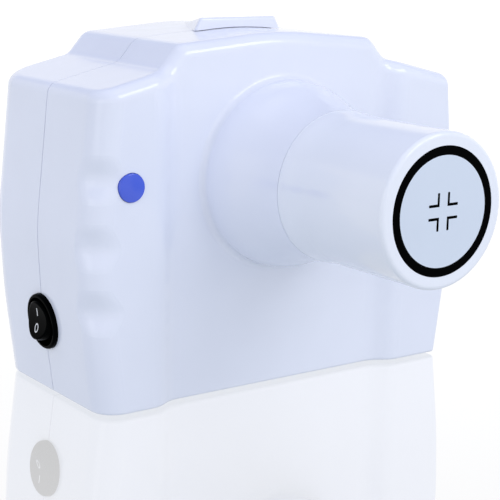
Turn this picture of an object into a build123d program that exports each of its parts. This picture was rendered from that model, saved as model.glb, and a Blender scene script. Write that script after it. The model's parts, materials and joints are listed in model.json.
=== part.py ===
"""Handheld intraoral x-ray unit: camera-shaped case, beam cone, controls and the parts inside.

Frame, in millimetres: X to the right seen from the front, Y from the cone (-Y) to the display (+Y), Z up.
The origin is the mouth of the tripod insert, on the underside of the case.
"""
from build123d import *
from math import cos, pi, sqrt
import os

# Case, seen from the front: half widths, and the heights where the outline turns
BOTTOM_HALF = 79.1
FLANK_HALF, FLANK_Z = 83.5, 33.0
BELLY_HALF, BELLY_Z = 85.2, 63.0
SHOULDER_HALF, SHOULDER_Z = 80.0, 114.9
HUMP_FOOT_HALF, HUMP_FOOT_Z = 51.2, 121.8
HUMP_TOP_HALF, HUMP_TOP_Z = 43.8, 130.2
HUMP_PEAK_Z = 133.9
FLANK_BEND_R, BELLY_BEND_R, HUMP_BEND_R, HUMP_CROWN_R = 250.0, 100.0, 6.5, 150.0

# Case, seen from above
FACE_Y, GRIP_Y, REAR_Y = -18.7, -23.2, 56.0
STEP_IN, STEP_OUT = 44.0, 59.0        # the face steps forward to the grips between these half widths
BUTTON_CORNER_R, PLAIN_CORNER_R, REAR_CORNER_R = 9.5, 2.0, 14.0
TOP_EDGE_R, BASE_EDGE_R = 5.0, 1.2
WALL = 2.6
SEAM_Y, SEAM_GAP = 14.0, 0.35
LIP_LENGTH, LIP_CLEARANCE = 2.5, 0.12

# Finger grooves round the corner of the button-side grip
GROOVE_CENTRES_Z = (37.8, 61.3, 85.1)
GROOVE_HALF_HEIGHT, GROOVE_DEPTH, GROOVE_LIFT = 11.2, 2.2, 0.06
GROOVE_FRONT_SPAN, GROOVE_SIDE_SPAN = 14.0, 12.0      # how far each one reaches from the corner

# Hood on top of the rear shell, which reaches a little over the front shell
HOOD_FRONT_HALF, HOOD_FRONT_TOP_HALF, HOOD_TOP_Z = 21.6, 17.8, 137.4
HOOD_START_Y, HOOD_END_Y, HOOD_EDGE_R, HOOD_CLEARANCE = 10.0, 47.0, 1.2, 0.2

# Cone, nose and beam axis
CONE_Z = 81.3
FOCUS_Y = 21.7
NOSE_R, NOSE_END_R, NOSE_END_Y = 34.5, 27.4, -53.0
NOSE_FILLET = 2.5
TUBE_R, TIP_Y, TUBE_RIM_R = 26.5, -107.0, 1.7
FLARE_END_Y = -66.0
TUBE_BORE_R, SPIGOT_R, SPIGOT_END_Y = 22.5, 23.6, -44.5
CAP_R, CAP_THICK = 21.8, 2.4
RING_IN_R, INLAY = 18.75, 0.6
MARK_GAP, MARK_REACH, MARK_STROKE = 1.75, 6.4, 0.95

# Exposure button
BUTTON_X, BUTTON_Z, BUTTON_R = -67.9, 82.1, 5.15
BUTTON_TRAVEL = 1.5

# Power rocker, on the button-side wall
ROCKER_Y, ROCKER_Z = SEAM_Y, 28.0
BEZEL_R, HOUSING_R, WELL_R = 10.5, 9.75, 9.2
BEZEL_PROUD, BEZEL_SUNK = 1.8, 0.35
PADDLE_R, PADDLE_TOP_R = 8.0, 6.9      # the rocker narrows outwards
ROCKER_TILT = 10.0                     # each way from level
PIVOT_DEPTH = 2.4

# Rear panel, display and keys
PANEL_HALF, PANEL_LOW_Z, PANEL_HIGH_Z = 44.0, 30.0, 110.0
DISPLAY_Z, DISPLAY_W, DISPLAY_H = 91.0, 50.0, 28.0
KEY_W, KEY_H, KEY_TRAVEL = 16.0, 9.0, 0.8
KEY_PLACES = {"key_minus": (-26, 62), "key_mode": (0, 62), "key_plus": (26, 62),
              "key_tooth": (-13, 44), "key_patient": (13, 44)}

PANEL_POSTS = [(x, z) for z in (33.0, 107.0) for x in (-40.5, 40.5)]

# Tank that holds the x-ray tube
TANK_HALF, TANK_FRONT_Y, TANK_BACK_Y, TANK_LOW_Z, TANK_HIGH_Z = 34.0, -12.0, 41.0, 44.0, 118.0
TANK_WALL, LINING = 3.0, 1.0
PORT_R, SNOUT_R, SNOUT_END_Y = 14.0, 19.0, -26.0

# Fasteners and feet
CASE_SCREWS = [(x, z) for z in (11.0, 106.0) for x in (-68.0, 68.0)]
CASE_BOSS_R, SCREW_R, SCREW_HEAD_R = 4.5, 1.5, 2.8
CHASSIS_POSTS = [(x, y) for y in (-4.0, 36.0) for x in (-28.0, 28.0)]
FEET = [(x, y) for y in (0.0, 42.0) for x in (-60.0, 60.0)]
FOOT_R, FOOT_PROUD, FOOT_SUNK = 5.0, 0.8, 0.8
INSERT_R, INSERT_BORE_R, INSERT_DEPTH = 4.75, 2.6, 8.0   # 1/4-20 tripod thread, at its tap-drill size
JACK_Y, JACK_Z, JACK_X = 40.0, 30.0, 82.7
JACK_R, JACK_BORE_R, JACK_PIN_R = 3.9, 2.8, 1.0


def block(x0, x1, y0, y1, z0, z1):
    """A box between two corners."""
    centre = ((x0 + x1) / 2, (y0 + y1) / 2, (z0 + z1) / 2)
    return Pos(*centre) * Box(x1 - x0, y1 - y0, z1 - z0)


def rod(axis, r, start, end, a=0.0, b=0.0):
    """A cylinder along X, Y or Z. a and b are the other two coordinates, in X, Y, Z order."""
    length = end - start
    middle = (start + end) / 2
    if axis == "X":
        return Pos(middle, a, b) * Rot(0, 90, 0) * Cylinder(r, length)
    if axis == "Y":
        return Pos(a, middle, b) * Rot(90, 0, 0) * Cylinder(r, length)
    return Pos(a, b, middle) * Cylinder(r, length)


def ring(axis, r_out, r_in, start, end, a=0.0, b=0.0):
    return rod(axis, r_out, start, end, a, b) - rod(axis, r_in, start - 1, end + 1, a, b)


def stadium(x, z, width, height, y0, y1):
    """A slot-shaped block across Y."""
    half = (width - height) / 2
    middle = block(x - half, x + half, y0, y1, z - height / 2, z + height / 2)
    return middle + [rod("Y", height / 2, y0, y1, x + side * half, z) for side in (-1, 1)]


def screw(axis, head_at, tip_at, a, b, head_r=SCREW_HEAD_R, shank_r=SCREW_R, head=2.0):
    """A screw whose head's underside is at head_at and whose point is at tip_at."""
    away = 1 if head_at > tip_at else -1
    top = head_at + away * head
    body = rod(axis, shank_r, min(head_at, tip_at), max(head_at, tip_at), a, b)
    return body + rod(axis, head_r, min(head_at, top), max(head_at, top), a, b)


def group(pieces):
    """Separate solids kept apart in one node."""
    return Compound(children=[solid for piece in pieces for solid in piece.solids()])


# Case ---------------------------------------------------------------------------------------

def outline(inset):
    """The case seen from the front, drawn in with an inset all round."""
    right = [(HUMP_TOP_HALF, HUMP_TOP_Z), (HUMP_FOOT_HALF, HUMP_FOOT_Z), (SHOULDER_HALF, SHOULDER_Z),
             (BELLY_HALF, BELLY_Z), (FLANK_HALF, FLANK_Z), (BOTTOM_HALF, 0)]
    left = [(-x, z) for x, z in reversed(right)]
    half_radii = [HUMP_BEND_R, HUMP_BEND_R, 0, BELLY_BEND_R, FLANK_BEND_R]
    radii = half_radii[::-1] + [HUMP_CROWN_R] + half_radii
    with BuildSketch(Plane.XZ) as sketch:
        with BuildLine():
            top = FilletPolyline(*left, (0, HUMP_PEAK_Z), *right, radius=radii)
            Line(top @ 1, top @ 0)
        make_face()
        if inset:
            offset(amount=-inset)
    return sketch.sketch


def face_recess(inset):
    """What is cut from in front of the centre face, with its soft steps out to the grips."""
    face, grip = FACE_Y + inset, GRIP_Y + inset
    middle = (STEP_IN + STEP_OUT) / 2
    far = grip - 10
    with BuildSketch() as sketch:
        with BuildLine():
            Line((-STEP_IN, face), (STEP_IN, face))
            Bezier((STEP_IN, face), (middle, face), (middle, grip), (STEP_OUT, grip))
            Polyline((STEP_OUT, grip), (STEP_OUT, far), (-STEP_OUT, far), (-STEP_OUT, grip))
            Bezier((-STEP_OUT, grip), (-middle, grip), (-middle, face), (-STEP_IN, face))
        make_face()
    return extrude(sketch.sketch, amount=HUMP_PEAK_Z + 10)


def spans_y(edge):
    return edge.bounding_box().size.Y > 30


def corner_edges(body, y, side):
    """The upright edges of the body at one Y, on the -X or the +X side."""
    return [e for e in body.edges() if abs(e.center().Y - y) < 0.01 and not spans_y(e)
            and side * e.center().X > BOTTOM_HALF - WALL - 3 and e.bounding_box().size.Z > 5]


def case_body(inset):
    """The rounded case as one solid. The cavity and the lip are the same shape, drawn in."""
    front, rear = GRIP_Y + inset, REAR_Y - inset
    body = (Pos(0, front, 0) * extrude(outline(inset), amount=front - rear)).solids()[0]
    behind_grooves = BUTTON_CORNER_R + 1 if inset else BUTTON_CORNER_R      # a thicker wall there
    body = body.fillet(behind_grooves, corner_edges(body, front, -1))
    body = body.fillet(REAR_CORNER_R - inset, corner_edges(body, rear, -1) + corner_edges(body, rear, 1))
    body = (body - face_recess(inset)).solids()[0]
    high = [e for e in body.edges() if e.bounding_box().min.Z > SHOULDER_Z - 3.5
            and not (spans_y(e) and abs(e.center().X) < SHOULDER_HALF - inset - 2)]
    body = body.fillet(max(TOP_EDGE_R - inset, 2.0), high)
    if inset:
        return body
    body = body.fillet(PLAIN_CORNER_R, corner_edges(body, front, 1))
    return body.fillet(BASE_EDGE_R, [e for e in body.edges() if e.bounding_box().max.Z < 0.01])


def side_half(z):
    """Half width of the case at a height, up to the shoulder."""
    low = BOTTOM_HALF + (FLANK_HALF - BOTTOM_HALF) * z / FLANK_Z
    middle = FLANK_HALF + (BELLY_HALF - FLANK_HALF) * (z - FLANK_Z) / (BELLY_Z - FLANK_Z)
    high = BELLY_HALF + (SHOULDER_HALF - BELLY_HALF) * (z - BELLY_Z) / (SHOULDER_Z - BELLY_Z)
    return min(low, middle, high)


def groove_section(z, depth):
    """What one level of a groove takes off the rounded corner, out to well clear of it."""
    x, y = -side_half(z), GRIP_Y
    share = (depth + GROOVE_LIFT) / (GROOVE_DEPTH + GROOVE_LIFT)
    along_front = BUTTON_CORNER_R + (GROOVE_FRONT_SPAN - BUTTON_CORNER_R) * share
    along_side = BUTTON_CORNER_R + (GROOVE_SIDE_SPAN - BUTTON_CORNER_R) * share
    # where the curve crosses the corner's diagonal: the corner's own rounding, then the groove's depth
    crossing = (2 - sqrt(2)) * BUTTON_CORNER_R + sqrt(2) * depth
    handle = (4 - 8 * crossing / (along_front + along_side)) / 3
    lift = GROOVE_LIFT / 2
    start, end = (x + along_front, y - lift), (x - lift, y + along_side)
    bend = Bezier((*start, z), (start[0] - handle * along_front, start[1], z),
                  (end[0], end[1] - handle * along_side, z), (*end, z))
    outside = Polyline((*end, z), (x - 8, end[1], z), (x - 8, y - 8, z), (start[0], y - 8, z), (*start, z))
    return Wire([bend, *outside.edges()])


def grooves():
    steps = 12
    cutters = []
    for centre in GROOVE_CENTRES_Z:
        sections = []
        for i in range(steps + 1):
            across = 2 * i / steps - 1
            depth = (GROOVE_DEPTH + GROOVE_LIFT) * ((1 + cos(pi * across)) / 2) ** 1.5 - GROOVE_LIFT
            sections.append(groove_section(centre + across * GROOVE_HALF_HEIGHT, depth))
        cutters.append(Solid.make_loft(sections))
    return cutters


def revolved(points_to_face):
    return revolve(points_to_face, axis=Axis((0, 0, CONE_Z), (0, 1, 0)))


def profile(*curves):
    """A face in the Y-Z plane from curves that meet end to end."""
    return Plane.YZ * make_face([c for c in curves])


def nose():
    """The flared nose of the front shell, round the beam axis."""
    points = [(FACE_Y, NOSE_R), (-24, 34.8), (-29, 34.0), (-36, 31.4), (-44.5, 28.8), (NOSE_END_Y, NOSE_END_R)]
    curve = Spline(*[(y, CONE_Z + r) for y, r in points])
    base = FACE_Y + WALL / 2
    edge = Polyline(curve @ 1, (NOSE_END_Y, CONE_Z), (base, CONE_Z), (base, CONE_Z + NOSE_R), curve @ 0)
    return revolved(profile(curve, edge))


def nose_cavity():
    edge = Polyline((0, CONE_Z), (0, CONE_Z + 31), (-24, CONE_Z + 31), (-44, CONE_Z + 23.7),
                    (NOSE_END_Y - 1, CONE_Z + 23.7), (NOSE_END_Y - 1, CONE_Z), (0, CONE_Z))
    return revolved(profile(edge))


def hood():
    """The low wedge on the rear shell that starts just ahead of the seam and fades out backwards."""
    start = HOOD_START_Y
    base = HUMP_PEAK_Z - 3.5
    front = Polyline((-HOOD_FRONT_HALF, start, base), (-HOOD_FRONT_TOP_HALF, start, HOOD_TOP_Z),
                     (HOOD_FRONT_TOP_HALF, start, HOOD_TOP_Z), (HOOD_FRONT_HALF, start, base), close=True)
    end_z = HUMP_PEAK_Z - 1.6
    back = Polyline((-6, HOOD_END_Y, base - 3), (-3, HOOD_END_Y, end_z), (3, HOOD_END_Y, end_z),
                    (6, HOOD_END_Y, base - 3), close=True)
    wedge = Solid.make_loft([Wire(front.edges()), Wire(back.edges())], ruled=True)
    upper = [e for e in wedge.edges() if e.center().Z > base + 0.5 and e.center().Y < HOOD_END_Y - 1]
    return wedge.fillet(HOOD_EDGE_R, upper)


def rocker_frame():
    """The rocker's plane on the sloping side wall: x along the case, y up the wall, z outwards."""
    low, high = side_half(ROCKER_Z - BEZEL_R), side_half(ROCKER_Z + BEZEL_R)
    slope = (high - low) / (2 * BEZEL_R)
    origin = (-(low + high) / 2, ROCKER_Y, ROCKER_Z)
    return Plane(origin=origin, x_dir=(0, -1, 0), z_dir=(-1, 0, -slope))


def in_wall(shape):
    return rocker_frame() * shape


def panel_cuts():
    """The recess for the rear panel and the openings behind it."""
    recess = block(-PANEL_HALF, PANEL_HALF, REAR_Y - 0.9, REAR_Y + 1, PANEL_LOW_Z, PANEL_HIGH_Z)
    corners = recess.edges().filter_by(Axis.Y)
    cuts = [fillet(corners, 6)]
    cuts.append(block(-27, 27, REAR_Y - 5, REAR_Y, DISPLAY_Z - 16, DISPLAY_Z + 16))
    cuts += [stadium(x, z, KEY_W + 0.5, KEY_H + 0.5, REAR_Y - 5, REAR_Y) for x, z in KEY_PLACES.values()]
    cuts.append(rod("Y", 1.6, REAR_Y - 5, REAR_Y, 34, DISPLAY_Z))
    return cuts


def shells():
    """Front and rear shells, with their bosses, posts and lap joint."""
    outside = case_body(0) + nose()
    join = [e for e in outside.edges().filter_by(GeomType.CIRCLE)
            if abs(e.radius - NOSE_R) < 0.05 and abs(e.center().Y - FACE_Y) < 0.05]
    outside = fillet(join, NOSE_FILLET)
    cavity = case_body(WALL)
    hollow = outside - cavity - nose_cavity() - grooves()

    far = 200
    ahead = block(-far, far, -far, SEAM_Y, -far, far)
    behind = block(-far, far, SEAM_Y + SEAM_GAP, far, -far, far)
    lap = block(-far, far, SEAM_Y - LIP_LENGTH, SEAM_Y + SEAM_GAP + 1, -far, far)
    lip = (case_body(WALL / 2 + LIP_CLEARANCE) - cavity) & lap
    lip_room = case_body(WALL / 2 - LIP_CLEARANCE) & block(-far, far, SEAM_Y - LIP_LENGTH - 0.15, SEAM_Y, -far, far)

    front = (hollow & ahead) - lip_room
    roof = hood() - cavity - (Pos(0, 0, HOOD_CLEARANCE) * case_body(0) - behind)
    rear = (hollow & behind) + lip + roof

    # screw bosses: the front ones take the thread, the rear ones hold the head at the bottom of a well
    for x, z in CASE_SCREWS:
        front += rod("Y", CASE_BOSS_R, GRIP_Y + WALL - 1, SEAM_Y - 0.2, x, z) & case_body(WALL / 2)
        front -= rod("Y", SCREW_R, 0, SEAM_Y, x, z)
        rear += rod("Y", CASE_BOSS_R, SEAM_Y + 0.3, REAR_Y - WALL + 1, x, z) & case_body(WALL / 2)
        rear -= rod("Y", SCREW_R + 0.2, SEAM_Y - 1, REAR_Y, x, z)
        rear -= rod("Y", SCREW_HEAD_R + 0.4, 24, REAR_Y + 1, x, z)

    # posts for the chassis, and the tripod boss
    for x, y in CHASSIS_POSTS:
        post = rod("Z", 4, WALL - 1, 41, x, y) - rod("Z", SCREW_R, 30, 42, x, y)
        if y < SEAM_Y:
            front += post
        else:
            rear += post
    front += rod("Z", INSERT_R + 3, WALL - 1, INSERT_DEPTH + 2)
    front -= rod("Z", INSERT_R, -1, INSERT_DEPTH)

    # ribs under the battery pack
    front += block(42, 62, -3, -1, WALL - 1, 16)
    rear += block(42, 62, 23, 25, WALL - 1, 16)

    # sleeve and posts for the exposure button and its board
    front += rod("Y", BUTTON_R + 2.5, GRIP_Y + WALL - 1, -15.6, BUTTON_X, BUTTON_Z) & case_body(WALL / 2)
    front -= rod("Y", BUTTON_R + 0.15, GRIP_Y - 3, -10, BUTTON_X, BUTTON_Z)
    for side in (-1, 1):
        z = BUTTON_Z + side * 11
        front += rod("Y", 2.5, GRIP_Y + WALL - 1, -3, BUTTON_X, z) - rod("Y", 1, -9, -2, BUTTON_X, z)

    # posts for the panel board
    for x, z in PANEL_POSTS:
        rear += rod("Y", 3, 49.05, REAR_Y - WALL + 1, x, z) - rod("Y", 1, 48, 54.5, x, z)
    for cut in panel_cuts():
        rear -= cut

    # holes for the rocker, the charging jack and the feet
    hole = in_wall(Pos(0, 0, -2) * Cylinder(HOUSING_R + 0.15, 20))
    seat = in_wall(Pos(0, 0, 10 - BEZEL_SUNK) * Cylinder(BEZEL_R + 0.1, 20))
    front, rear = front - hole - seat, rear - hole - seat
    rear -= rod("X", JACK_R + 0.1, 70, 90, JACK_Y, JACK_Z)
    for x, y in FEET:
        pocket = rod("Z", FOOT_R + 0.1, -5, FOOT_SUNK, x, y)
        front, rear = front - pocket, rear - pocket
    return front, rear


# Cone ---------------------------------------------------------------------------------------

def collimator_tube():
    gap = 0.15
    root = NOSE_END_Y - gap
    flare = Spline((root, CONE_Z + NOSE_END_R - 0.05), (-58, CONE_Z + TUBE_R + 0.55), (FLARE_END_Y, CONE_Z + TUBE_R),
                   tangents=[(-1, 0.14), (-1, 0)])
    edge = Polyline(flare @ 1, (TIP_Y, CONE_Z + TUBE_R), (TIP_Y, CONE_Z), (root, CONE_Z), flare @ 0)
    body = revolved(profile(flare, edge)) + rod("Y", SPIGOT_R, root - 1, SPIGOT_END_Y, 0, CONE_Z)
    rim = [e for e in body.edges().filter_by(GeomType.CIRCLE)
           if abs(e.center().Y - TIP_Y) < 0.01 and e.radius > TUBE_R - 0.1]
    body = fillet(rim, TUBE_RIM_R)
    body -= rod("Y", TUBE_BORE_R, TIP_Y + CAP_THICK + 0.1, 0, 0, CONE_Z)
    return body - rod("Y", CAP_R + 0.1, TIP_Y - 1, -60, 0, CONE_Z)


def tube_liner():
    return ring("Y", TUBE_BORE_R - 0.1, 21.0, TIP_Y + CAP_THICK + 0.15, SPIGOT_END_Y - 1, 0, CONE_Z)


def mark(sign_x, sign_z):
    """One L of the aiming mark, its corner towards the middle."""
    deep = TIP_Y + INLAY
    near, far, stroke = MARK_GAP, MARK_REACH, MARK_STROKE
    across = block(near, far, TIP_Y, deep, near, near + stroke)
    upright = block(near, near + stroke, TIP_Y, deep, near, far)
    ell = (across + upright).solids()[0]
    ends = [e for e in ell.edges().filter_by(Axis.Y) if max(e.center().X, e.center().Z) > far - 0.1]
    ell = ell.fillet(stroke * 0.3, ends)
    if sign_x < 0:
        ell = mirror(ell, Plane.YZ)
    if sign_z < 0:
        ell = mirror(ell, Plane.XY)
    return Pos(0, 0, CONE_Z) * ell


def tip():
    """The closed end of the cone: white disc, black ring and the four black marks let into it."""
    marks = group([mark(sx, sz) for sx in (-1, 1) for sz in (-1, 1)])
    band = ring("Y", CAP_R, RING_IN_R, TIP_Y, TIP_Y + INLAY, 0, CONE_Z)
    disc = rod("Y", CAP_R, TIP_Y, TIP_Y + CAP_THICK, 0, CONE_Z) - band - marks
    return disc, band, marks


# Exposure button ----------------------------------------------------------------------------

BUTTON_FRONT_Y, BUTTON_FLANGE_Y = -24.4, -15.5
PLUNGER_Y, TRIGGER_SWITCH_Y, TRIGGER_BOARD_Y = -7.4, -7.0, -3.0


def exposure_button():
    cap = rod("Y", BUTTON_R, BUTTON_FRONT_Y, BUTTON_FLANGE_Y + 0.1, BUTTON_X, BUTTON_Z)
    dome_r = 26.0
    cap &= Pos(BUTTON_X, BUTTON_FRONT_Y + dome_r, BUTTON_Z) * Sphere(dome_r)
    rim = cap.edges().sort_by(Axis.Y)[0]
    cap = fillet(rim, 0.5)
    cap += rod("Y", BUTTON_R + 1.3, BUTTON_FLANGE_Y, BUTTON_FLANGE_Y + 1.2, BUTTON_X, BUTTON_Z)
    stem_end = PLUNGER_Y - BUTTON_TRAVEL - 0.1
    return cap + rod("Y", 1.4, BUTTON_FLANGE_Y, stem_end, BUTTON_X, BUTTON_Z)


def button_spring():
    start, end = BUTTON_FLANGE_Y + 1.5, TRIGGER_SWITCH_Y - 0.35
    helix = Helix(pitch=(end - start) / 4, height=end - start, radius=2.2)
    wire = sweep(Plane(helix @ 0, z_dir=helix % 0) * Circle(0.25), path=helix)
    return Pos(BUTTON_X, start, BUTTON_Z) * Rot(-90, 0, 0) * wire


def trigger_parts():
    y = TRIGGER_BOARD_Y
    switch = block(BUTTON_X - 3, BUTTON_X + 3, TRIGGER_SWITCH_Y, y, BUTTON_Z - 3, BUTTON_Z + 3)
    switch += rod("Y", 1.2, PLUNGER_Y, TRIGGER_SWITCH_Y + 1, BUTTON_X, BUTTON_Z)
    board = block(BUTTON_X - 6, BUTTON_X + 6, y, y + 1.6, BUTTON_Z - 15, BUTTON_Z + 15)
    screws = []
    for side in (-1, 1):
        z = BUTTON_Z + side * 11
        board -= rod("Y", 1.1, y - 1, y + 3, BUTTON_X, z)
        screws.append(screw("Y", y + 1.6, y - 5, BUTTON_X, z, head_r=1.9, shank_r=0.98, head=1.3))
    return switch, board, screws


# Power rocker -------------------------------------------------------------------------------

def switch_housing():
    under = 0.05 - BEZEL_SUNK
    bezel = Pos(0, 0, (BEZEL_PROUD + under) / 2) * Cylinder(BEZEL_R, BEZEL_PROUD - under)
    body = Pos(0, 0, -6.8) * Cylinder(HOUSING_R, 14) + bezel
    body = fillet(body.edges().sort_by(Axis.Z)[-1], 0.9)
    body -= Pos(0, 0, -1.5) * Cylinder(WELL_R, 11)
    for side in (-1, 1):
        lug = Pos(side * 5.8, 0, -4.6) * Box(1.6, 5, 6.0)
        body += lug
    return in_wall(body - Pos(0, 0, -PIVOT_DEPTH) * Rot(0, 90, 0) * Cylinder(1.28, 20))


def level_paddle():
    """The rocker at mid stroke, in its own plane: y up the wall, z outwards."""
    reach = PADDLE_R
    with BuildSketch(Plane.YZ) as side:
        with BuildLine():
            waist = ThreePointArc((-reach, 4.9), (0, 2.9), (reach, 4.9))
            Polyline(waist @ 1, (reach, 0.3), (-reach, 0.3), waist @ 0)
        make_face()
    height = 4.9
    top = extrude(side.sketch, amount=reach, both=True) & Pos(0, 0, height / 2) * Cone(reach, PADDLE_TOP_R, height)
    rim = [e for e in top.edges() if e.bounding_box().min.Z > 2.5]
    top = fillet(rim, 0.7)
    web = Pos(0, 0, -1.4) * Box(9.4, 4.0, 4.4)
    trunnions = Pos(0, 0, -PIVOT_DEPTH) * Rot(0, 90, 0) * Cylinder(1.22, 12.8)
    return top + web + trunnions


def glyphs():
    """The two switch symbols, as tall blanks to cut the marks with."""
    tall = 12
    bar = Pos(0, 3.1, 4) * Box(0.55, 2.9, tall)
    loop = Pos(0, -2.9, 4) * (extrude(Ellipse(1.3, 1.75), amount=tall / 2, both=True)
                              - extrude(Ellipse(0.8, 1.25), amount=tall / 2, both=True))
    return [bar, loop]


def power_rocker():
    """The rocker and its marks, tipped so that its lower end stands proud."""
    paddle = level_paddle()
    skin = paddle - Pos(0, 0, -0.3) * paddle
    marks = [skin & glyph & (Pos(0, 0, 5) * Box(30, 30, 6)) for glyph in glyphs()]
    for piece in marks:
        paddle -= piece
    tip_over = Pos(0, 0, -PIVOT_DEPTH) * Rot(-ROCKER_TILT, 0, 0) * Pos(0, 0, PIVOT_DEPTH)
    return in_wall(tip_over * paddle), group([in_wall(tip_over * piece) for piece in marks])


def switch_terminals():
    return group([in_wall(Pos(0, y, -17.3) * Box(6.3, 0.8, 7.0)) for y in (-4, 4)])


# Rear controls ------------------------------------------------------------------------------

def rear_panel():
    gap = 0.1
    plate = block(-PANEL_HALF + gap, PANEL_HALF - gap, REAR_Y - 0.9, REAR_Y + 0.1,
                  PANEL_LOW_Z + gap, PANEL_HIGH_Z - gap)
    plate = fillet(plate.edges().filter_by(Axis.Y), 5.9)
    opening = block(-DISPLAY_W / 2, DISPLAY_W / 2, REAR_Y - 2, REAR_Y + 2,
                    DISPLAY_Z - DISPLAY_H / 2, DISPLAY_Z + DISPLAY_H / 2)
    plate -= fillet(opening.edges().filter_by(Axis.Y), 2)
    for x, z in KEY_PLACES.values():
        plate -= stadium(x, z, KEY_W + 0.5, KEY_H + 0.5, REAR_Y - 2, REAR_Y + 2)
    return plate - rod("Y", 1.6, REAR_Y - 2, REAR_Y + 2, 34, DISPLAY_Z)


def display_window():
    return block(-26.8, 26.8, REAR_Y - WALL, REAR_Y - 0.95, DISPLAY_Z - 15.8, DISPLAY_Z + 15.8)


def display_module():
    frame = block(-29, 29, 49.1, 53.2, DISPLAY_Z - 18, DISPLAY_Z + 18)
    return fillet(frame.edges().filter_by(Axis.Y), 1.5)


def key(x, z):
    cap = stadium(x, z, KEY_W, KEY_H, 52, REAR_Y + 1.2)
    front = [e for e in cap.edges() if abs(e.center().Y - REAR_Y - 1.2) < 0.01]
    cap = fillet(front, 0.7)
    return cap + stadium(x, z, KEY_W + 2.4, KEY_H + 2.4, 51.4, REAR_Y - WALL - 0.05)


def keypad_mat():
    mat = block(-38, 38, 49.1, 49.9, 36, 70)
    for x, z in KEY_PLACES.values():
        mat += Pos(x, 50.15, z) * Rot(-90, 0, 0) * Cone(3.5, 2.5, 0.7)
    return mat


def panel_board():
    board = block(-46, 46, 47.4, 49.0, 28, 113)
    for x, z in PANEL_POSTS:
        board -= rod("Y", 1.1, 47, 50, x, z)
    return board


def panel_screws():
    return [screw("Y", 47.4, 53.3, x, z, head_r=1.9, shank_r=0.98, head=1.3) for x, z in PANEL_POSTS]


def status_lamp():
    lens = rod("Y", 1.5, 49.1, REAR_Y + 0.3, 34, DISPLAY_Z)
    return fillet(lens.edges().sort_by(Axis.Y)[-1], 0.9)


# Tank and x-ray tube ------------------------------------------------------------------------

LID_SCREWS = [(x, z) for z in (51.0, 111.0) for x in (-27.2, 27.2)]
LID_BOSS_R = 3.6


def tank_body():
    body = block(-TANK_HALF, TANK_HALF, TANK_FRONT_Y, TANK_BACK_Y, TANK_LOW_Z, TANK_HIGH_Z)
    body = fillet(body.edges().filter_by(Axis.Y), 4)
    body += rod("Y", SNOUT_R, SNOUT_END_Y, TANK_FRONT_Y + 1, 0, CONE_Z)
    body -= tank_inside(0)
    for x, z in LID_SCREWS:
        body += rod("Y", LID_BOSS_R, TANK_FRONT_Y + 1, TANK_BACK_Y, x, z)
        body -= rod("Y", SCREW_R, 30, TANK_BACK_Y + 1, x, z)
    body -= rod("Y", PORT_R, SNOUT_END_Y - 1, TANK_FRONT_Y - 0.2, 0, CONE_Z)
    return body - rod("Y", PORT_R - 3, SNOUT_END_Y, 0, 0, CONE_Z)


def tank_inside(inset):
    wall = TANK_WALL + inset
    return block(-TANK_HALF + wall, TANK_HALF - wall, TANK_FRONT_Y + wall, TANK_BACK_Y + 5,
                 TANK_LOW_Z + wall, TANK_HIGH_Z - wall)


def lead_lining():
    gap = 0.1
    behind = block(-50, 50, TANK_BACK_Y - 0.1, 80, 0, 200)
    lining = tank_inside(gap) - tank_inside(gap + LINING) - behind
    for x, z in LID_SCREWS:
        lining -= block(x - 5 if x < 0 else x - 4, x + 4 if x < 0 else x + 5, -20, 60,
                        z - 5 if z < 80 else z - 4, z + 4 if z < 80 else z + 5)
    return lining - rod("Y", PORT_R - 3, -20, 0, 0, CONE_Z)


def tank_lid():
    lid = block(-TANK_HALF, TANK_HALF, TANK_BACK_Y + 0.05, TANK_BACK_Y + 3, TANK_LOW_Z, TANK_HIGH_Z)
    lid = fillet(lid.edges().filter_by(Axis.Y), 4)
    for x, z in LID_SCREWS:
        lid -= rod("Y", SCREW_R + 0.2, 40, 50, x, z)
    return lid


def lid_screws():
    top = TANK_BACK_Y + 3
    return [screw("Y", top, top - 12, x, z) for x, z in LID_SCREWS]


def in_port(r_out, r_in, y0, y1):
    disc = rod("Y", r_out, y0, y1, 0, CONE_Z)
    return disc - rod("Y", r_in, y0 - 1, y1 + 1, 0, CONE_Z) if r_in else disc


ENVELOPE_R, ENVELOPE_HALF = 11.0, 27.0


def glass_envelope():
    glass = rod("X", ENVELOPE_R, -ENVELOPE_HALF, ENVELOPE_HALF, FOCUS_Y, CONE_Z)
    glass = fillet([e for e in glass.edges().filter_by(GeomType.CIRCLE)], 4)
    bulb = rod("X", ENVELOPE_R - 1, -ENVELOPE_HALF + 1, ENVELOPE_HALF - 1, FOCUS_Y, CONE_Z)
    bulb = fillet([e for e in bulb.edges().filter_by(GeomType.CIRCLE)], 3)
    return glass - bulb - rod("X", 4, 20, 40, FOCUS_Y, CONE_Z) - rod("X", 1.6, -40, -20, FOCUS_Y, CONE_Z)


def target_frame():
    """The anode's slanting face, which turns the beam towards the port."""
    return Plane(origin=(0, FOCUS_Y, CONE_Z), x_dir=(0, 0, 1), z_dir=(-0.94, -0.34, 0))


def anode():
    body = rod("X", 7, -4, 22, FOCUS_Y, CONE_Z) + rod("X", 3.95, 20, 29.5, FOCUS_Y, CONE_Z)
    body -= target_frame() * Pos(0, 0, 10) * Box(40, 40, 20)
    return body - target_frame() * Cylinder(4.05, 2)


def tungsten_target():
    return target_frame() * Pos(0, 0, -0.5) * Cylinder(4, 1)


def cathode():
    cup = rod("X", 6, -20, -12, FOCUS_Y, CONE_Z)
    cup -= block(-14, -11, FOCUS_Y - 1, FOCUS_Y + 1, CONE_Z - 4, CONE_Z + 4)
    stem = rod("X", 1.55, -28.5, -19, FOCUS_Y, CONE_Z)
    filament = rod("Z", 0.35, CONE_Z - 3.5, CONE_Z + 3.5, -12.9, FOCUS_Y)
    return cup + stem, filament


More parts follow.
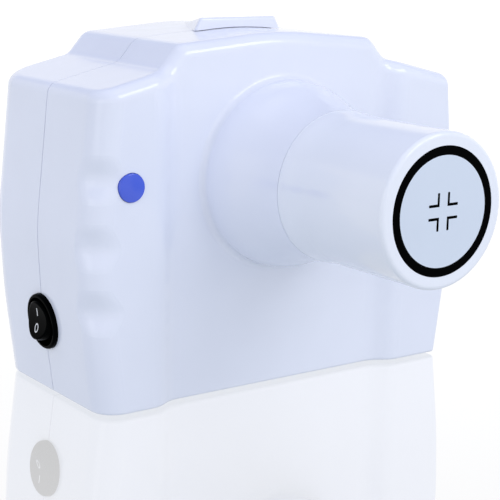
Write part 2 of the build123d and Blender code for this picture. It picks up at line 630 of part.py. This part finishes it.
def tube_cradles():
    plates = []
    for x in (-21.9, 21.9):
        plate = block(x - 1.5, x + 1.5, 9, 34, TANK_LOW_Z + 4.2, CONE_Z)
        plates.append(plate - rod("X", ENVELOPE_R + 0.05, -30, 30, FOCUS_Y, CONE_Z))
    return group(plates)


def transformer():
    """Ferrite frame lying flat under the tube, with one winding on each long leg."""
    core = block(-20, 20, -4, 38, 52, 61) - block(-11, 11, 5, 29, 50, 63)
    core = fillet(core.edges().filter_by(Axis.Z), 1)
    windings = []
    for middle, thick in ((33.5, 2.5), (0.5, 2.9)):
        coil = block(-9, 9, middle - 4.5 - thick, middle + 4.5 + thick, 52 - thick, 61 + thick)
        coil = fillet(coil.edges().filter_by(Axis.X), 2)
        windings.append(coil - block(-20, 20, middle - 4.55, middle + 4.55, 51.95, 61.05))
    return core, windings[0], windings[1]


def multiplier():
    """Voltage multiplier over the tube: board, disc capacitors and diodes."""
    board = block(-26, 26, -4, 38, 97, 98.6)
    parts = [rod("Z", 4.2, 98.6, 104, x, y) for x in (-18, -6, 6, 18) for y in (4, 30)]
    parts += [rod("X", 1.3, x - 4, x + 4, 17, 99.9) for x in (-18, -6, 6, 18)]
    return board, group(parts)


# Chassis and boards -------------------------------------------------------------------------

def chassis():
    """Plate under the tank, with an upright flange that carries the inverter board."""
    plate = block(-40, 36, -10, 42, 41.05, 43.95)
    flange = block(-40, -38, -8, 42, 41.05, 112)
    bracket = plate + flange
    for x, y in CHASSIS_POSTS:
        bracket -= rod("Z", SCREW_R + 0.2, 40, 45, x, y)
        bracket -= rod("Z", SCREW_HEAD_R + 0.2, 42.1, 45, x, y)
    for z in (52, 78, 104):
        bracket -= rod("X", 5, -45, -30, 17, z)
    return bracket


def chassis_screws():
    return [screw("Z", 42.15, 33, x, y, head=1.6) for x, y in CHASSIS_POSTS]


def inverter_board():
    board = block(-42, -40.05, -8, 42, 46, 112)
    return board


def heat_sink():
    sink = block(-48, -46, 0, 36, 62, 106)
    for i in range(8):
        z = 62 + i * 6
        sink += block(-56, -47, 0, 36, z, z + 2)
    return sink


def power_parts():
    """On the inverter board: four transistors under the heat sink and two capacitors below it."""
    parts = [block(-46, -42, y, y + 10, z, z + 15) for y in (4, 22) for z in (66, 86)]
    parts += [rod("X", 5, -56, -42, y, 53.5) for y in (8, 26)]
    return group(parts)


def control_board():
    return block(-22, 22, -9, 44, 14, 15.6)


def control_parts():
    """On the control board: processor, connectors, capacitors and the sounder."""
    parts = [block(-7, 7, 12, 26, 15.6, 17), block(-20, -12, 36, 43, 15.6, 22), block(6, 20, 36, 43, 15.6, 22)]
    parts += [rod("Z", 3, 15.6, 26, x, -4) for x in (-16, -8)]
    sounder = rod("Z", 6, 15.6, 23, 13, 2) - rod("Z", 1, 20, 24, 13, 2)
    return group(parts + [sounder])


def board_standoffs():
    return group([rod("Z", 2.5, WALL + 0.02, 14, x, y) for x in (-18, 18) for y in (-6, 31)])


# Battery ------------------------------------------------------------------------------------

CELL_R, CELL_LENGTH, CELL_LOW_Z = 9.2, 65.2, 20.0
CELL_X, CELL_Y = (48.2, 67.2), (0.5, 20.0)


def battery_cells():
    cells = []
    for x in CELL_X:
        for y in CELL_Y:
            cell = rod("Z", CELL_R, CELL_LOW_Z, CELL_LOW_Z + CELL_LENGTH, x, y)
            cells.append(fillet(cell.edges().filter_by(GeomType.CIRCLE), 0.6))
    return group(cells)


def battery_holder():
    top_z = CELL_LOW_Z + CELL_LENGTH
    x0, x1, y0, y1 = CELL_X[0] - 9.4, CELL_X[1] + 9.4, CELL_Y[0] - 9.4, CELL_Y[1] + 9.4
    holder = block(x0, x1, y0, y1, 16.05, CELL_LOW_Z - 0.02)
    holder += block(x0, x1, y0, y1, top_z + 0.02, top_z + 3)
    holder = fillet([e for e in holder.edges().filter_by(Axis.Z)], 6)
    return holder + rod("Z", 3.6, 18, top_z + 1, sum(CELL_X) / 2, sum(CELL_Y) / 2)


def battery_board():
    low = CELL_LOW_Z + CELL_LENGTH + 3
    board = block(41, 74, -5, 26, low + 0.02, low + 1.6)
    board += block(45, 55, 2, 12, low + 1, low + 5)
    return board + block(60, 70, 8, 14, low + 1, low + 3)


# Sockets, inserts, feet and screws ----------------------------------------------------------

def charge_jack():
    body = block(64, 76, JACK_Y - 5.5, JACK_Y + 5.5, JACK_Z - 5.5, JACK_Z + 5.5)
    body += rod("X", JACK_R, 75, JACK_X, JACK_Y, JACK_Z)
    body -= rod("X", JACK_BORE_R, 70, 90, JACK_Y, JACK_Z)
    return body + rod("X", JACK_PIN_R, 69, JACK_X - 1, JACK_Y, JACK_Z)


def tripod_insert():
    return ring("Z", INSERT_R - 0.02, INSERT_BORE_R, 0, INSERT_DEPTH - 0.05)


def feet():
    return group([rod("Z", FOOT_R, -FOOT_PROUD, FOOT_SUNK - 0.02, x, y) for x, y in FEET])


def case_screws():
    return group([screw("Y", 24.02, 2, x, z) for x, z in CASE_SCREWS])


def build():
    """Every node, by name."""
    nodes = {}
    nodes["front_shell"], nodes["rear_shell"] = shells()
    nodes["case_screws"] = case_screws()
    nodes["rubber_feet"] = feet()
    nodes["tripod_insert"] = tripod_insert()
    nodes["charge_jack"] = charge_jack()

    nodes["collimator_tube"] = collimator_tube()
    nodes["tube_liner"] = tube_liner()
    nodes["tip_disc"], nodes["tip_ring"], nodes["aiming_marks"] = tip()

    nodes["exposure_button"] = exposure_button()
    nodes["button_spring"] = button_spring()
    nodes["trigger_switch"], nodes["trigger_board"], trigger_screws = trigger_parts()

    nodes["switch_housing"] = switch_housing()
    nodes["power_rocker"], nodes["rocker_marks"] = power_rocker()
    nodes["switch_terminals"] = switch_terminals()

    nodes["rear_panel"] = rear_panel()
    nodes["display_window"] = display_window()
    nodes["display_module"] = display_module()
    for name, (x, z) in KEY_PLACES.items():
        nodes[name] = key(x, z)
    nodes["keypad_mat"] = keypad_mat()
    nodes["panel_board"] = panel_board()
    nodes["board_screws"] = group(trigger_screws + panel_screws())
    nodes["status_lamp"] = status_lamp()

    nodes["tank_body"] = tank_body()
    nodes["lead_lining"] = lead_lining()
    nodes["tank_lid"] = tank_lid()
    nodes["beam_window"] = in_port(PORT_R - 0.1, 0, -14.0, -12.25)
    nodes["aluminium_filter"] = in_port(PORT_R - 0.1, 0, -15.6, -14.05)
    nodes["lead_diaphragm"] = in_port(PORT_R - 0.1, 6.5, -17.7, -15.65)
    nodes["retaining_ring"] = in_port(PORT_R - 0.1, 11, -20.0, -17.75)
    nodes["glass_envelope"] = glass_envelope()
    nodes["anode"] = anode()
    nodes["tungsten_target"] = tungsten_target()
    nodes["cathode_cup"], nodes["filament"] = cathode()
    nodes["tube_cradles"] = tube_cradles()
    nodes["transformer_core"], nodes["primary_winding"], nodes["secondary_winding"] = transformer()
    nodes["multiplier_board"], nodes["multiplier_parts"] = multiplier()

    nodes["chassis"] = chassis()
    nodes["tank_screws"] = group(lid_screws() + chassis_screws())
    nodes["inverter_board"] = inverter_board()
    nodes["heat_sink"] = heat_sink()
    nodes["inverter_parts"] = power_parts()
    nodes["control_board"] = control_board()
    nodes["control_parts"] = control_parts()
    nodes["board_standoffs"] = board_standoffs()

    nodes["battery_cells"] = battery_cells()
    nodes["battery_holder"] = battery_holder()
    nodes["battery_board"] = battery_board()
    return nodes


os.makedirs("parts", exist_ok=True)
for node_name, shape in build().items():
    export_step(shape, f"parts/{node_name}.step")
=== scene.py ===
"""Looks for the handheld intraoral x-ray unit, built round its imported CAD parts.

Metres, in the same frame as the CAD: X to the right seen from the front, -Y along the beam, Z up.
"""
import json
from math import cos, exp, pi, radians, sin

import bmesh
import bpy
from mathutils import Matrix, Vector


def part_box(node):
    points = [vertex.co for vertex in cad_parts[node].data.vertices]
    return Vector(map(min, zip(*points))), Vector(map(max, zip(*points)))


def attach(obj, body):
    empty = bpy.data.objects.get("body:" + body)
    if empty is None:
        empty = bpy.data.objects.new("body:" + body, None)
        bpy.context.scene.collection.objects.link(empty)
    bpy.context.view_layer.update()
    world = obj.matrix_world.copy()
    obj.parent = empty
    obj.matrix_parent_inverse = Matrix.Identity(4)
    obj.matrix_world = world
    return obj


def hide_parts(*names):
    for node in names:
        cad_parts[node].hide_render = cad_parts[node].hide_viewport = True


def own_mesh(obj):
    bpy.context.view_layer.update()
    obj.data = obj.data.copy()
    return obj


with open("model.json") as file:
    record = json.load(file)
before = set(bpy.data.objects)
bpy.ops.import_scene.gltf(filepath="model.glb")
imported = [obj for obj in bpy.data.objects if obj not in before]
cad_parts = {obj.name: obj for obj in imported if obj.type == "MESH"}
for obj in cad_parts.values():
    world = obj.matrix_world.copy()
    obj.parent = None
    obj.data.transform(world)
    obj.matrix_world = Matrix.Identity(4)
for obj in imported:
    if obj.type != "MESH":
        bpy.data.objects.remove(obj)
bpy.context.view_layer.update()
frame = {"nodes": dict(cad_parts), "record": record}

NODES = frame["nodes"]
RECORD = frame["record"]
MM = 0.001

# Camera: where it stands, which way it looks, and its lens on a 36 mm sensor
CAMERA_PLACE = (-0.32188, -0.44411, 0.17057)
CAMERA_YAW, CAMERA_PITCH, CAMERA_ROLL = 35.93, 12.61, 1.14
CAMERA_LENS = 103.7
CAMERA_SENSOR = 36.0


def make_camera():
    yaw, pitch, roll = (radians(a) for a in (CAMERA_YAW, CAMERA_PITCH, CAMERA_ROLL))
    ahead = Vector((sin(yaw) * cos(pitch), cos(yaw) * cos(pitch), -sin(pitch)))
    right = ahead.cross(Vector((0, 0, 1))).normalized()
    up = right.cross(ahead)
    right, up = right * cos(roll) + up * sin(roll), up * cos(roll) - right * sin(roll)
    turned = Matrix((right, up, -ahead)).transposed().to_4x4()
    data = bpy.data.cameras.new("camera")
    data.lens = CAMERA_LENS
    data.sensor_width = CAMERA_SENSOR
    camera = bpy.data.objects.new("camera", data)
    camera.matrix_world = Matrix.Translation(CAMERA_PLACE) @ turned
    bpy.context.scene.collection.objects.link(camera)
    bpy.context.scene.camera = camera


# Materials ----------------------------------------------------------------------------------

# Most of a noise texture's values lie between these two
NOISE_LOW, NOISE_HIGH = 0.3, 0.7

# How many features of each pattern there are in a metre, more or less
FLOW, GLOSS, GRAIN, WAVE = 35, 90, 2500, 28
BRUSHED = 900
RUBBER_SHADE, RUBBER_GRAIN = 400, 1800
CLEAR_SHADE = 60
TRACKS = 160


class Nodes:
    """A small helper that adds and links shader nodes."""

    def __init__(self, name):
        self.material = bpy.data.materials.new(name)
        self.material.use_nodes = True
        self.tree = self.material.node_tree
        self.shader = self.tree.nodes["Principled BSDF"]
        self.place = self.add("ShaderNodeTexCoord").outputs["Object"]

    def add(self, kind):
        return self.tree.nodes.new(kind)

    def link(self, out, into):
        self.tree.links.new(out, into)

    def into(self, name, out):
        """Feeds one of the shader's sockets."""
        self.link(out, self.shader.inputs[name])

    def noise(self, scale, detail=3.0, stretch=None):
        place = self.place
        if stretch:
            mapping = self.add("ShaderNodeMapping")
            mapping.inputs["Scale"].default_value = stretch
            self.link(place, mapping.inputs["Vector"])
            place = mapping.outputs["Vector"]
        node = self.add("ShaderNodeTexNoise")
        node.inputs["Scale"].default_value = scale
        node.inputs["Detail"].default_value = detail
        self.link(place, node.inputs["Vector"])
        return node.outputs["Fac"]

    def shade(self, factor, dark, pale):
        """A colour that runs from dark to pale with a noise."""
        node = self.add("ShaderNodeValToRGB")
        for element, position, colour in zip(node.color_ramp.elements, (NOISE_LOW, NOISE_HIGH), (dark, pale)):
            element.position = position
            element.color = (*colour, 1)
        self.link(factor, node.inputs["Fac"])
        return node.outputs["Color"]

    def span(self, factor, low, high):
        """A value that runs from low to high with a noise."""
        node = self.add("ShaderNodeMapRange")
        node.inputs["From Min"].default_value = NOISE_LOW
        node.inputs["From Max"].default_value = NOISE_HIGH
        node.inputs["To Min"].default_value = low
        node.inputs["To Max"].default_value = high
        self.link(factor, node.inputs["Value"])
        return node.outputs["Result"]

    def bump(self, height, distance, strength=1.0, after=None):
        node = self.add("ShaderNodeBump")
        node.inputs["Distance"].default_value = distance
        node.inputs["Strength"].default_value = strength
        self.link(height, node.inputs["Height"])
        if after:
            self.link(after, node.inputs["Normal"])
        return node.outputs["Normal"]

    def set(self, **values):
        for key, value in values.items():
            self.shader.inputs[key.replace("_", " ")].default_value = value


def near(colour, share):
    return tuple(min(1.0, c * share) for c in colour)


def plastic(name, colour, roughness=0.2, grain=0.02, coat=0.0, spread=0.03, wave=0.0, shine=0.5):
    """Moulded plastic: faint flow marks in its colour, uneven gloss and a fine moulded grain."""
    n = Nodes(name)
    n.into("Base Color", n.shade(n.noise(FLOW, 2), near(colour, 1 - spread), near(colour, 1 + spread)))
    n.into("Roughness", n.span(n.noise(GLOSS, 4), roughness * 0.8, roughness * 1.2))
    normal = n.bump(n.noise(GRAIN, 2), grain * MM, 0.6)
    if wave:
        normal = n.bump(n.noise(WAVE, 1), wave * MM, 1.0, after=normal)
    n.into("Normal", normal)
    n.set(Coat_Weight=coat, Coat_Roughness=0.05, Specular_IOR_Level=shine)
    return n.material


def metal(name, colour, roughness=0.3, stretch=(1, 1, 12)):
    """Drawn, turned or cast metal, with fine lines along the axes that stretch leaves long."""
    n = Nodes(name)
    lines = n.noise(BRUSHED, 3, stretch)
    n.into("Base Color", n.shade(lines, near(colour, 0.88), near(colour, 1.08)))
    n.into("Roughness", n.span(lines, roughness * 0.75, roughness * 1.3))
    n.into("Normal", n.bump(lines, 0.01 * MM, 0.5))
    n.set(Metallic=1.0)
    return n.material


def rubber(name, colour, roughness=0.7):
    n = Nodes(name)
    n.into("Base Color", n.shade(n.noise(RUBBER_SHADE, 4), near(colour, 0.8), near(colour, 1.2)))
    n.into("Normal", n.bump(n.noise(RUBBER_GRAIN, 3), 0.05 * MM, 0.8))
    n.set(Roughness=roughness)
    return n.material


def clear(name, colour, roughness=0.05):
    """Glass or clear plastic."""
    n = Nodes(name)
    n.into("Base Color", n.shade(n.noise(CLEAR_SHADE, 2), near(colour, 0.97), colour))
    n.set(Roughness=roughness, Transmission_Weight=0.9, IOR=1.49)
    return n.material


def board(name):
    """Solder mask with copper tracks just under it."""
    n = Nodes(name)
    tracks = n.add("ShaderNodeTexBrick")
    tracks.inputs["Scale"].default_value = TRACKS
    tracks.inputs["Mortar Size"].default_value = 0.04
    tracks.inputs["Color1"].default_value = (0.02, 0.16, 0.07, 1)
    tracks.inputs["Color2"].default_value = (0.025, 0.20, 0.09, 1)
    tracks.inputs["Mortar"].default_value = (0.05, 0.30, 0.14, 1)
    n.link(n.place, tracks.inputs["Vector"])
    n.into("Base Color", tracks.outputs["Color"])
    n.into("Normal", n.bump(tracks.outputs["Fac"], 0.03 * MM))
    n.set(Roughness=0.35)
    return n.material


SHELL = (0.84, 0.87, 0.98)

MATERIALS = {
    "white_shell": lambda n: plastic(n, SHELL, 0.16, 0.004, coat=0.3, spread=0.012, wave=0.02),
    "cone_white": lambda n: plastic(n, (0.88, 0.91, 0.99), 0.14, 0.003, coat=0.4, spread=0.012, wave=0.015),
    "tip_white": lambda n: plastic(n, (0.70, 0.77, 0.88), 0.35, 0.01, spread=0.015),
    "gloss_black": lambda n: plastic(n, (0.0006, 0.0008, 0.001), 0.12, 0.003, spread=0.2, shine=0.01),
    "blue_button": lambda n: plastic(n, (0.05, 0.11, 0.72), 0.2, 0.006, coat=0.3, spread=0.05),
    "mark_white": lambda n: plastic(n, (0.8, 0.8, 0.8), 0.4, 0.01),
    "panel_grey": lambda n: plastic(n, (0.42, 0.48, 0.56), 0.42, 0.02, spread=0.04),
    "key_blue": lambda n: plastic(n, (0.05, 0.12, 0.40), 0.45, 0.02, spread=0.06),
    "display_glass": lambda n: clear(n, (0.9, 0.95, 1.0)),
    "display_grey": lambda n: plastic(n, (0.02, 0.03, 0.035), 0.3, 0.01),
    "lamp_amber": lambda n: clear(n, (1.0, 0.5, 0.05), 0.15),
    "silicone": lambda n: rubber(n, (0.6, 0.62, 0.63), 0.5),
    "foot_rubber": lambda n: rubber(n, (0.02, 0.02, 0.02), 0.8),
    "board_green": board,
    "component_black": lambda n: plastic(n, (0.02, 0.02, 0.02), 0.5, 0.02, spread=0.2),
    "steel": lambda n: metal(n, (0.6, 0.61, 0.63), 0.3),
    "brass": lambda n: metal(n, (0.78, 0.58, 0.26), 0.28),
    "aluminium": lambda n: metal(n, (0.75, 0.76, 0.78), 0.35),
    "lead": lambda n: metal(n, (0.25, 0.26, 0.28), 0.55, (1, 1, 1)),
    "copper": lambda n: metal(n, (0.78, 0.36, 0.20), 0.3),
    "tungsten": lambda n: metal(n, (0.3, 0.3, 0.32), 0.45),
    "glass": lambda n: clear(n, (0.92, 0.97, 0.97), 0.02),
    "ferrite": lambda n: rubber(n, (0.06, 0.06, 0.065), 0.6),
    "winding": lambda n: metal(n, (0.55, 0.26, 0.10), 0.35, (12, 1, 1)),
    "tank_grey": lambda n: metal(n, (0.5, 0.52, 0.54), 0.5, (1, 1, 1)),
    "cell_wrap": lambda n: plastic(n, (0.03, 0.22, 0.20), 0.3, 0.01),
    "holder_black": lambda n: plastic(n, (0.03, 0.03, 0.032), 0.5, 0.02),
}


def dress_nodes():
    """Every CAD node gets the procedural material of its slot."""
    made = {slot: build(slot) for slot, build in MATERIALS.items()}
    for part in RECORD["subparts"]:
        mesh = NODES[part["node"]].data
        mesh.materials.clear()
        mesh.materials.append(made[part["material_slot"]])


# Printed marks: outlines in X and Z, made into thin slabs and lines -------------------------

PRINT_THICK = 0.1 * MM
PRINT_SUNK = 0.2            # the share of that thickness which lies under the surface
CORNER_CUT = 0.35           # how far a bar's corners are cut, as a share of its half width


def prism(shape, loop, low, high):
    """A closed slab between two Y values, over one outline."""
    front = [shape.verts.new((x, low, z)) for x, z in loop]
    back = [shape.verts.new((x, high, z)) for x, z in loop]
    shape.faces.new(front)
    shape.faces.new(back[::-1])
    for i in range(len(loop)):
        after = (i + 1) % len(loop)
        shape.faces.new((front[after], front[i], back[i], back[after]))


def ribbon(shape, points, width, low, high):
    """A closed line of even width that follows a ring of points."""
    count = len(points)
    rings = []
    for side, y in ((-1, low), (-1, high), (1, high), (1, low)):
        ring = []
        for i, (x, z) in enumerate(points):
            before, after = points[i - 1], points[(i + 1) % count]
            along = Vector((after[0] - before[0], after[1] - before[1])).normalized()
            step = side * width / 2
            ring.append(shape.verts.new((x - along.y * step, y, z + along.x * step)))
        rings.append(ring)
    for a, b in zip(rings, rings[1:] + rings[:1]):
        for i in range(count):
            after = (i + 1) % count
            shape.faces.new((a[i], a[after], b[after], b[i]))


def arc(x, z, across, up, turn, steps):
    """Points round an ellipse, from its +X end through that turn."""
    return [(x + across * cos(turn * i / steps), z + up * sin(turn * i / steps)) for i in range(steps + 1)]


def circle(x, z, r, steps=40):
    return arc(x, z, r, r, 2 * pi, steps)[:-1]


def bar(x, z, width, height):
    """A bar with its corners cut, so that it prints like a rounded one."""
    w, h = width / 2, height / 2
    cut = min(w, h) * CORNER_CUT
    corners = [(-w + cut, -h), (w - cut, -h), (w, -h + cut), (w, h - cut),
               (w - cut, h), (-w + cut, h), (-w, h - cut), (-w, -h + cut)]
    return [(x + a, z + b) for a, b in corners]


def tooth(x, z, size, steps=72):
    """A tooth's outline: a rounded crown with a dip, and two roots with a notch between them."""
    points = []
    for i in range(steps):
        a = 2 * pi * i / steps
        dip = 0.25 * exp(-((a - pi / 2) / 0.4) ** 2)
        notch = 0.85 * exp(-((a - 3 * pi / 2) / 0.42) ** 2)
        points.append((x + size * 0.85 * cos(a), z + size * (sin(a) - dip + notch)))
    return points


def printed(name, body, surface, prisms=(), ribbons=()):
    """One printed mark of several slabs and lines, just proud of a surface that faces +Y."""
    shape = bmesh.new()
    low = surface - PRINT_SUNK * PRINT_THICK
    high = low + PRINT_THICK
    for loop in prisms:
        prism(shape, loop, low, high)
    for points, width in ribbons:
        ribbon(shape, points, width, low, high)
    bmesh.ops.recalc_face_normals(shape, faces=shape.faces)
    mesh = bpy.data.meshes.new(name)
    shape.to_mesh(mesh)
    shape.free()
    mesh.materials.append(bpy.data.materials["mark_white"])
    piece = bpy.data.objects.new(name, mesh)
    bpy.context.scene.collection.objects.link(piece)
    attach(piece, body)


# Symbols on the keys ------------------------------------------------------------------------

SIGN_REACH, SIGN_STROKE = 4.4 * MM, 0.8 * MM
FINE_STROKE = 0.6 * MM
TIMER_R = 2.4 * MM
LONG_HAND, SHORT_HAND, SHORT_HAND_OUT = 1.8 * MM, 1.0 * MM, 0.85 * MM
KEY_TOOTH = 2.5 * MM
HEAD_R, HEAD_UP = 1.15 * MM, 1.4 * MM
SHOULDERS_ACROSS, SHOULDERS_UP, SHOULDERS_DOWN = 2.2 * MM, 2.3 * MM, 2.6 * MM


def key_face(node):
    """Middle of a key's outer face."""
    low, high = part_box(node)
    return (low.x + high.x) / 2, high.y, (low.z + high.z) / 2


def key_symbols():
    """Generic symbols: less, more, timer, tooth and patient."""
    x, y, z = key_face("key_minus")
    printed("minus_symbol", "key_minus_cap", y, [bar(x, z, SIGN_REACH, SIGN_STROKE)])

    x, y, z = key_face("key_plus")
    arm = (SIGN_REACH - SIGN_STROKE) / 2
    arm_out = (arm + SIGN_STROKE) / 2
    arms = [bar(x + side * arm_out, z, arm, SIGN_STROKE) for side in (-1, 1)]
    printed("plus_symbol", "key_plus_cap", y, [bar(x, z, SIGN_STROKE, SIGN_REACH)] + arms)

    x, y, z = key_face("key_mode")
    long_hand = bar(x, z + (LONG_HAND - FINE_STROKE) / 2, FINE_STROKE, LONG_HAND)
    short_hand = bar(x - SHORT_HAND_OUT, z, SHORT_HAND, FINE_STROKE)
    rim = (circle(x, z, TIMER_R), FINE_STROKE)
    printed("timer_symbol", "key_mode_cap", y, [long_hand, short_hand], [rim])

    x, y, z = key_face("key_tooth")
    printed("tooth_symbol", "key_tooth_cap", y, [], [(tooth(x, z, KEY_TOOTH), FINE_STROKE)])

    x, y, z = key_face("key_patient")
    shoulders = arc(x, z - SHOULDERS_DOWN, SHOULDERS_ACROSS, SHOULDERS_UP, pi, 24)
    printed("patient_symbol", "key_patient_cap", y, [shoulders, circle(x, z + HEAD_UP, HEAD_R)])


# Display. It is read from behind the unit, so its right is towards -X -----------------------

# The seven bars of a digit, each as its place (in half widths and half heights) and whether it lies flat
BARS = {"top": (0, 1, True), "middle": (0, 0, True), "bottom": (0, -1, True), "left_high": (-1, 0.5, False),
        "left_low": (-1, -0.5, False), "right_high": (1, 0.5, False), "right_low": (1, -0.5, False)}
DIGITS = {"0": ("top", "bottom", "left_high", "left_low", "right_high", "right_low"),
          "2": ("top", "right_high", "middle", "left_low", "bottom")}

# The exposure time in seconds: each digit and its X from the display's middle
READING = (("0", 11 * MM), ("2", 0.0), ("0", -10 * MM))
READING_UP = 3.5 * MM
POINT_X = 5.6 * MM
DIGIT_HALF_WIDTH, DIGIT_HALF_HEIGHT, DIGIT_STROKE = 3.0 * MM, 5.2 * MM, 1.3 * MM

# The row of signs under it
SIGNS_DOWN = 8.5 * MM
TOOTH_X, TOOTH_SIZE, TOOTH_STROKE = 15 * MM, 2.4 * MM, 0.5 * MM
GAUGE_LEFT, GAUGE_RIGHT, GAUGE_HALF_HEIGHT, GAUGE_STROKE = -17 * MM, -9 * MM, 2.1 * MM, 0.4 * MM
CHARGE_BARS, CHARGE_X, CHARGE_STEP = 3, -15 * MM, 1.9 * MM
CHARGE_WIDTH, CHARGE_HEIGHT = 1.3 * MM, 2.6 * MM


def digit(shown, x, z):
    """One seven-bar digit."""
    loops = []
    for name in DIGITS[shown]:
        across, up, flat = BARS[name]
        flat_size = (2 * DIGIT_HALF_WIDTH - DIGIT_STROKE, DIGIT_STROKE)
        upright_size = (DIGIT_STROKE, DIGIT_HALF_HEIGHT - DIGIT_STROKE)
        size = flat_size if flat else upright_size
        loops.append(bar(x - across * DIGIT_HALF_WIDTH, z + up * DIGIT_HALF_HEIGHT, *size))
    return loops


def display_content():
    """The exposure time, with a tooth and a charge gauge under it."""
    low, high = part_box("display_window")
    x, z = (low.x + high.x) / 2, (low.z + high.z) / 2
    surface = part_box("display_module")[1].y
    reading_z, signs_z = z + READING_UP, z - SIGNS_DOWN
    loops = []
    for shown, place in READING:
        loops += digit(shown, x + place, reading_z)
    loops.append(bar(x + POINT_X, reading_z - DIGIT_HALF_HEIGHT, DIGIT_STROKE, DIGIT_STROKE))
    for i in range(CHARGE_BARS):
        loops.append(bar(x + CHARGE_X + i * CHARGE_STEP, signs_z, CHARGE_WIDTH, CHARGE_HEIGHT))
    left, right = x + GAUGE_LEFT, x + GAUGE_RIGHT
    bottom, top = signs_z - GAUGE_HALF_HEIGHT, signs_z + GAUGE_HALF_HEIGHT
    gauge = [(left, bottom), (right, bottom), (right, top), (left, top)]
    lines = [(tooth(x + TOOTH_X, signs_z, TOOTH_SIZE), TOOTH_STROKE), (gauge, GAUGE_STROKE)]
    printed("display_content", "case", surface, loops, lines)


# Button spring ------------------------------------------------------------------------------

def live_spring():
    """The button's spring again, as a piece of its own with its own copy of the mesh, in place of the hidden
    CAD node.
    """
    rest = NODES["button_spring"]
    spring = bpy.data.objects.new("sprung_coil", rest.data.copy())
    spring.matrix_world = rest.matrix_world
    bpy.context.scene.collection.objects.link(spring)
    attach(spring, "case")
    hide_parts("button_spring")
    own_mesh(spring)


# Studio -------------------------------------------------------------------------------------

FLOOR_REACH = 15.0
FLOOR_GLOW = 0.70
FLOOR_DARK, FLOOR_PALE = (0.10, 0.10, 0.10), (0.11, 0.11, 0.11)

# The world's light, from straight down (0) through the horizon (0.5) to straight up (1)
BELOW, HORIZON, ABOVE = (0.52, 0.58, 0.66), (1.0, 1.0, 1.0), (0.50, 0.55, 0.72)
SKY = [(0.0, BELOW), (0.465, BELOW), (0.485, HORIZON), (0.70, HORIZON), (0.74, ABOVE), (1.0, ABOVE)]

# Each light's place, its size and its power. They all face one point in the object
LIGHTS_FACE = (0, 0, 0.09)
LIGHTS = {
    "front_left": ((-0.25, -0.75, 0.62), (0.6, 0.35), 0.3),
    "front_right": ((0.35, -0.85, 0.75), (0.7, 0.35), 2.7),
    "side": ((-1.1, -0.3, 0.3), (0.5, 0.5), 0.55),
    "top": ((0, -0.1, 1.0), (0.9, 0.9), 0.8),
}


def floor():
    """A plain glossy white floor. It shows in the render, but throws no soft light up at the object."""
    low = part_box("rubber_feet")[0].z
    far = FLOOR_REACH
    corners = [(-far, -far, low), (far, -far, low), (far, far, low), (-far, far, low)]
    mesh = bpy.data.meshes.new("floor")
    mesh.from_pydata(corners, [], [(0, 1, 2, 3)])
    plane = bpy.data.objects.new("floor", mesh)
    bpy.context.scene.collection.objects.link(plane)
    plane.visible_diffuse = False
    n = Nodes("floor")
    n.into("Base Color", n.shade(n.noise(3, 2), FLOOR_DARK, FLOOR_PALE))
    n.set(Roughness=0.02, IOR=1.8, Coat_Weight=1.0, Coat_Roughness=0.02, Coat_IOR=1.8)
    n.set(Emission_Color=(1, 1, 1, 1), Emission_Strength=FLOOR_GLOW)
    mesh.materials.append(n.material)


def light(name, place, size, power):
    data = bpy.data.lights.new(name, "AREA")
    data.shape = "RECTANGLE"
    data.size, data.size_y = size
    data.energy = power
    lamp = bpy.data.objects.new(name, data)
    lamp.location = place
    lamp.rotation_mode = "QUATERNION"
    lamp.rotation_quaternion = (Vector(LIGHTS_FACE) - Vector(place)).to_track_quat("-Z", "Y")
    bpy.context.scene.collection.objects.link(lamp)


def surroundings():
    """A soft light from all round, white at the horizon and dimmer above and below."""
    world = bpy.data.worlds.new("world")
    world.use_nodes = True
    tree = world.node_tree
    place = tree.nodes.new("ShaderNodeTexCoord")
    parts = tree.nodes.new("ShaderNodeSeparateXYZ")
    height = tree.nodes.new("ShaderNodeMapRange")
    height.inputs["From Min"].default_value = -1.0
    ramp = tree.nodes.new("ShaderNodeValToRGB")
    elements = ramp.color_ramp.elements
    while len(elements) < len(SKY):
        elements.new(0.5)
    for element, (position, colour) in zip(elements, SKY):
        element.position = position
        element.color = (*colour, 1)
    tree.links.new(place.outputs["Generated"], parts.inputs["Vector"])
    tree.links.new(parts.outputs["Z"], height.inputs["Value"])
    tree.links.new(height.outputs["Result"], ramp.inputs["Fac"])
    tree.links.new(ramp.outputs["Color"], tree.nodes["Background"].inputs["Color"])
    bpy.context.scene.world = world


def studio():
    floor()
    surroundings()
    for name, (place, size, power) in LIGHTS.items():
        light(name, place, size, power)
    bpy.context.scene.view_settings.view_transform = "Standard"


make_camera()
dress_nodes()
key_symbols()
display_content()
live_spring()
studio()
